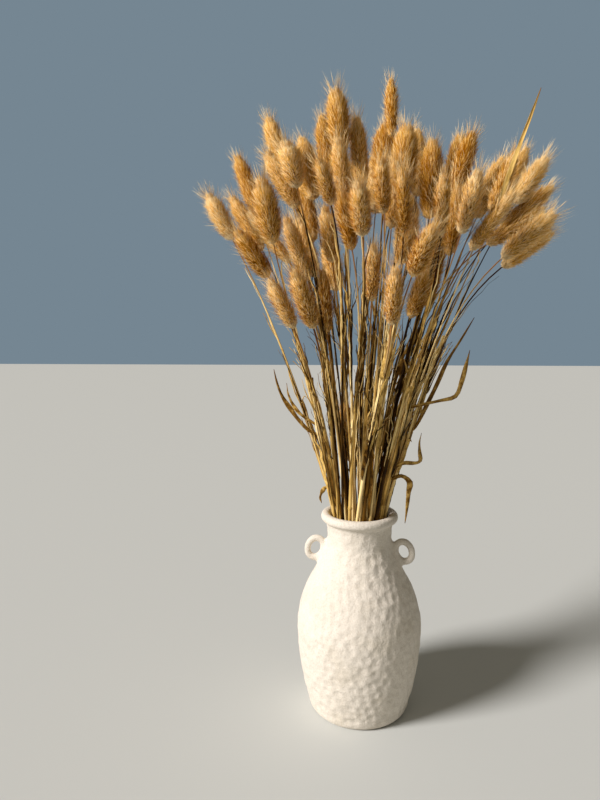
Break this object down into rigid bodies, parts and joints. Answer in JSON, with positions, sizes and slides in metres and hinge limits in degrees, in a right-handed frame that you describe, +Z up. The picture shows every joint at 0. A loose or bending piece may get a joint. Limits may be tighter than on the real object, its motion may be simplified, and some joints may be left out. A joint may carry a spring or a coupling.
{
  "type": "vase of dried bunny tail grass",
  "caption": "Bellied white clay vase with small ring ears and a hammered skin, filled with a full, spreading bunch of dried bunny tail grass with soft oval heads, for display indoors.",
  "frame": {"origin": "centre of the vase's flat foot, on the surface that it stands on", "axes": "+Z up along the vase's axis; the vase's two ears lie along X; the bunch is seen in the picture from -Y"},
  "size_m": [0.3338, 0.2426, 0.622],
  "materials": {
    "clay": "matte",
    "dried_grass": "matte"
  },
  "bodies": {
    "root": {"vase": "clay", "stalk_01": "dried_grass", "stalk_02": "dried_grass", "stalk_03": "dried_grass", "stalk_04": "dried_grass", "stalk_05": "dried_grass", "stalk_06": "dried_grass", "stalk_07": "dried_grass", "stalk_08": "dried_grass", "stalk_09": "dried_grass", "stalk_10": "dried_grass", "stalk_11": "dried_grass", "stalk_12": "dried_grass", "stalk_13": "dried_grass", "stalk_14": "dried_grass", "stalk_15": "dried_grass", "stalk_16": "dried_grass", "stalk_17": "dried_grass", "stalk_18": "dried_grass", "stalk_19": "dried_grass", "stalk_20": "dried_grass", "stalk_21": "dried_grass", "stalk_22": "dried_grass", "stalk_23": "dried_grass", "stalk_24": "dried_grass", "stalk_25": "dried_grass", "stalk_26": "dried_grass", "stalk_27": "dried_grass", "stalk_28": "dried_grass", "stalk_29": "dried_grass", "stalk_30": "dried_grass", "stalk_31": "dried_grass", "stalk_32": "dried_grass", "stalk_33": "dried_grass", "stalk_34": "dried_grass", "stalk_35": "dried_grass", "stalk_36": "dried_grass", "stalk_37": "dried_grass", "stalk_38": "dried_grass", "stalk_39": "dried_grass", "stalk_40": "dried_grass", "stalk_41": "dried_grass", "stalk_42": "dried_grass", "stalk_43": "dried_grass", "stalk_44": "dried_grass", "stalk_45": "dried_grass", "stalk_46": "dried_grass", "stalk_47": "dried_grass", "stalk_48": "dried_grass", "stalk_49": "dried_grass", "stalk_50": "dried_grass", "stalk_51": "dried_grass", "stalk_52": "dried_grass", "stalk_53": "dried_grass", "stalk_54": "dried_grass", "stalk_55": "dried_grass", "stalk_56": "dried_grass", "stalk_57": "dried_grass", "stalk_58": "dried_grass"}
  },
  "joints": []
}
